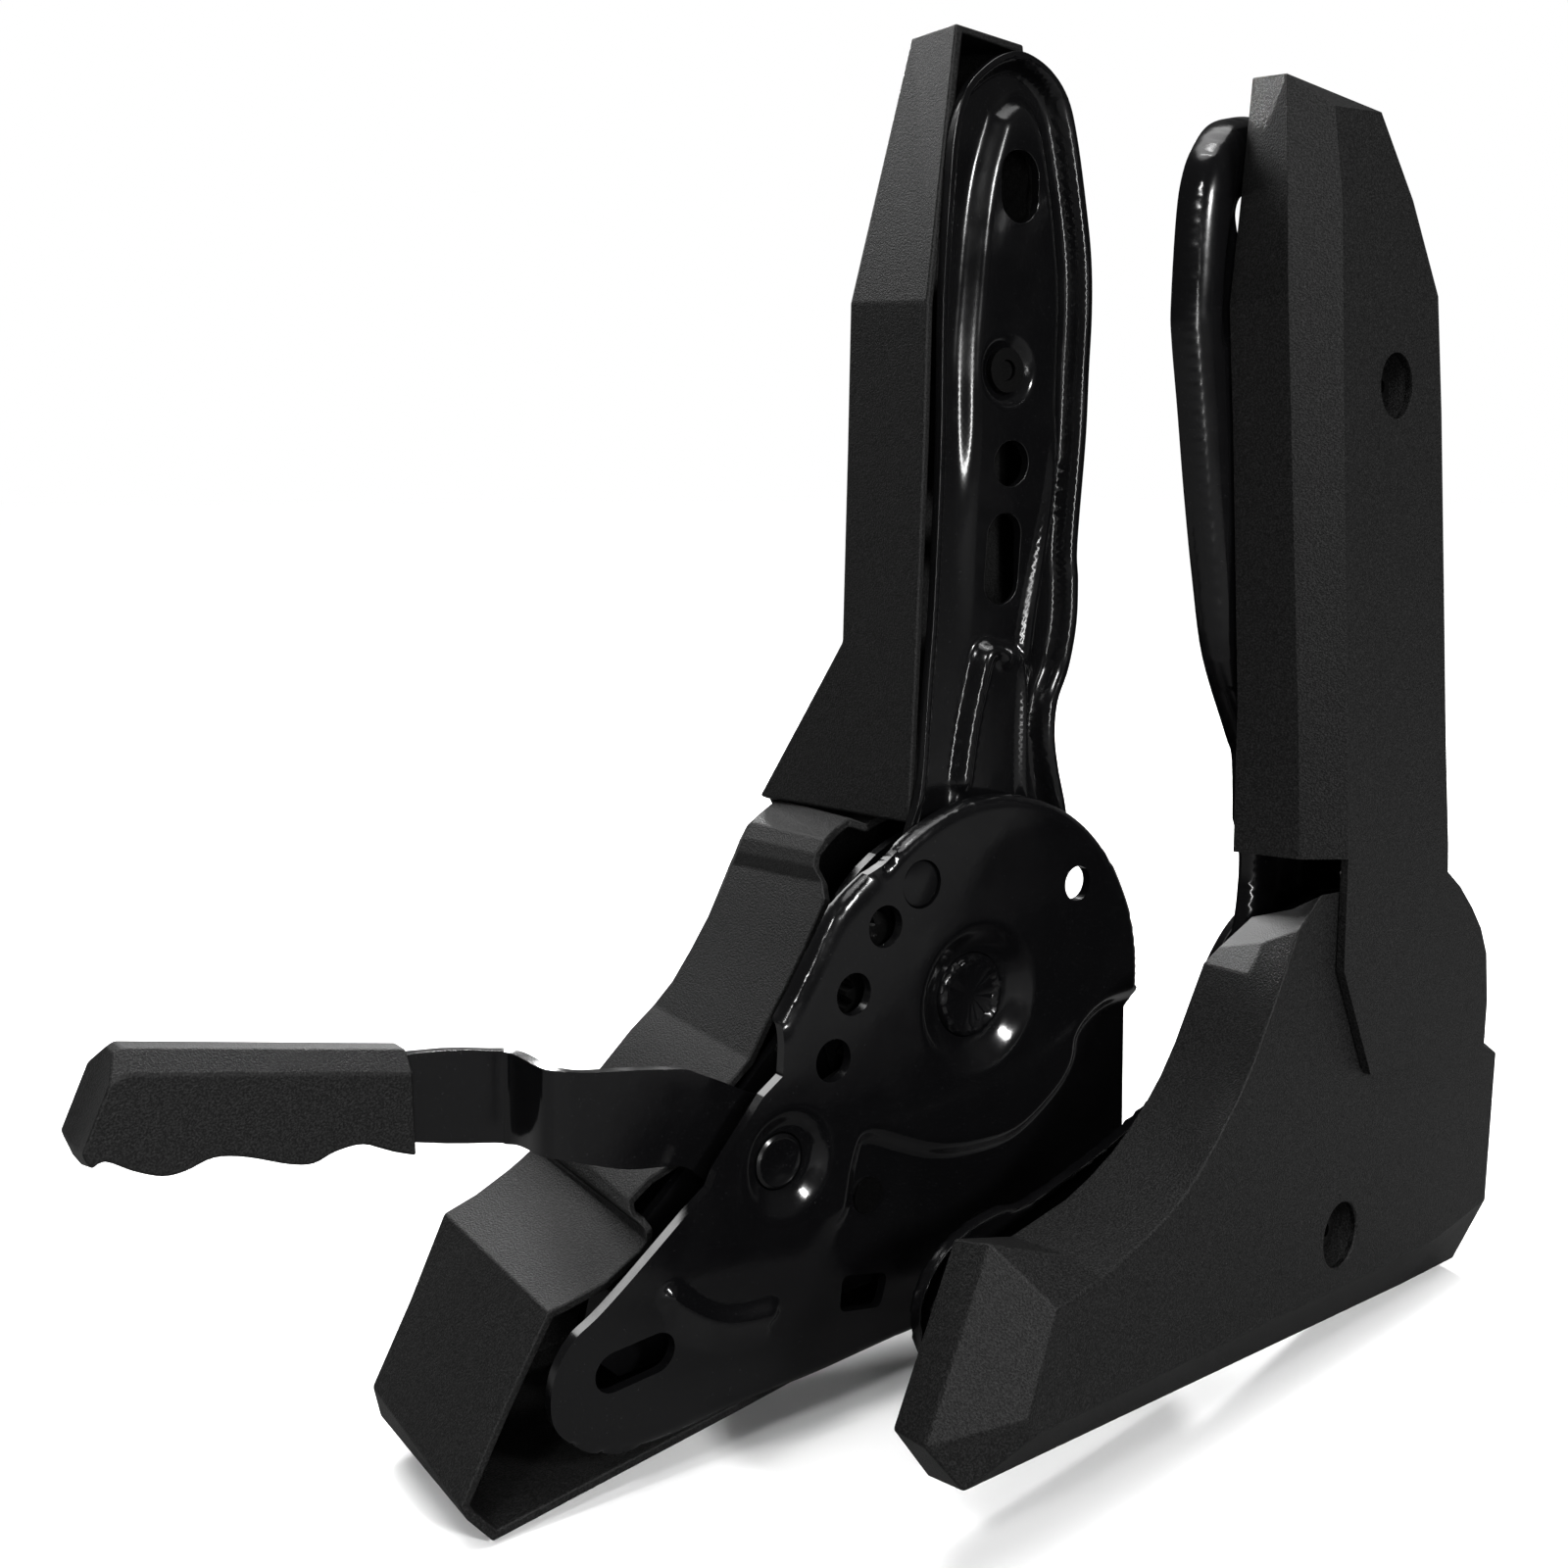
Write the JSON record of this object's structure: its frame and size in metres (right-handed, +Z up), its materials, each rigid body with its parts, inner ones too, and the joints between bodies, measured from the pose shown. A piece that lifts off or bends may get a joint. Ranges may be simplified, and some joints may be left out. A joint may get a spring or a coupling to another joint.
{
  "type": "seat recliner hinge pair",
  "caption": "Pair of seat recliner hinges, one with a release lever and one follower, each with a base plate, a back arm and plastic covers.",
  "frame": {"origin": "centre of the base of the pair's bounding box", "axes": "+X to the rear of the seat, +Y towards the outer side of the lever unit, +Z up"},
  "size_m": [0.4317, 0.1608, 0.3929],
  "materials": {
    "steel": "gloss black paint",
    "bare_steel": "dark phosphated steel",
    "plastic": "fine-grained matte black"
  },
  "bodies": {
    "main_base": {"main_inner_plate": "steel", "main_outer_plate": "steel", "main_pivot_pin": "bare_steel", "main_return_spring": "bare_steel", "main_stop_rivet": "bare_steel", "main_spacer_rivet_front": "bare_steel", "main_spacer_rivet_rear": "bare_steel", "main_lower_cover": "plastic", "main_lower_screw": "bare_steel", "pawl_pin": "bare_steel", "lever_spring": "bare_steel"},
    "main_back_arm": {"main_arm": "steel", "main_gear_sector": "bare_steel", "main_pivot_bush": "bare_steel", "main_spring_hook": "bare_steel", "main_rivet_nut": "bare_steel", "main_upper_cover": "plastic", "main_upper_screw": "bare_steel"},
    "lever": {"lever_shaft": "bare_steel", "lever_cam": "bare_steel", "lever_bar": "steel", "lever_grip": "plastic", "grip_screw": "bare_steel"},
    "pawl": {"lock_pawl": "bare_steel"},
    "side_base": {"side_inner_plate": "steel", "side_outer_plate": "steel", "side_pivot_pin": "bare_steel", "side_return_spring": "bare_steel", "side_stop_rivet": "bare_steel", "side_spacer_rivet_front": "bare_steel", "side_spacer_rivet_rear": "bare_steel", "side_lower_cover": "plastic", "side_lower_screw": "bare_steel"},
    "side_back_arm": {"side_arm": "steel", "side_hinge_plate": "bare_steel", "side_pivot_bush": "bare_steel", "side_spring_hook": "bare_steel", "side_rivet_nut": "bare_steel", "side_upper_cover": "plastic", "side_upper_screw": "bare_steel"}
  },
  "joints": [
    {"name": "recline_main", "type": "hinge", "parent": "main_base", "child": "main_back_arm", "pos_m": [0.0241, 0.0004, 0.1139], "axis": [0, 1, 0], "range_deg": [-45, 50], "deforming": ["main_return_spring"]},
    {"name": "lever_lift", "type": "hinge", "parent": "main_base", "child": "lever", "pos_m": [-0.0449, 0.0004, 0.0809], "axis": [0, 1, 0], "range_deg": [0, 20], "stiffness_Nm_per_rad": 0.6, "springref_deg": -20.05, "deforming": ["lever_spring"]},
    {"name": "pawl_swing", "type": "hinge", "parent": "main_base", "child": "pawl", "pos_m": [-0.0139, 0.0004, 0.0639], "axis": [0, 1, 0], "range_deg": [-6.5, 0]},
    {"name": "unit_spacing", "type": "slide", "parent": "main_base", "child": "side_base", "axis": [0, -1, 0], "range_m": [0, 0.3]},
    {"name": "recline_side", "type": "hinge", "parent": "side_base", "child": "side_back_arm", "pos_m": [0.1313, -0.0128, 0.088], "axis": [-0.1392, 0.9903, 0], "range_deg": [-20, 60], "deforming": ["side_return_spring"]}
  ],
  "couplings": [
    {"joint": "pawl_swing", "follows": "lever_lift", "ratio": -0.3}
  ]
}
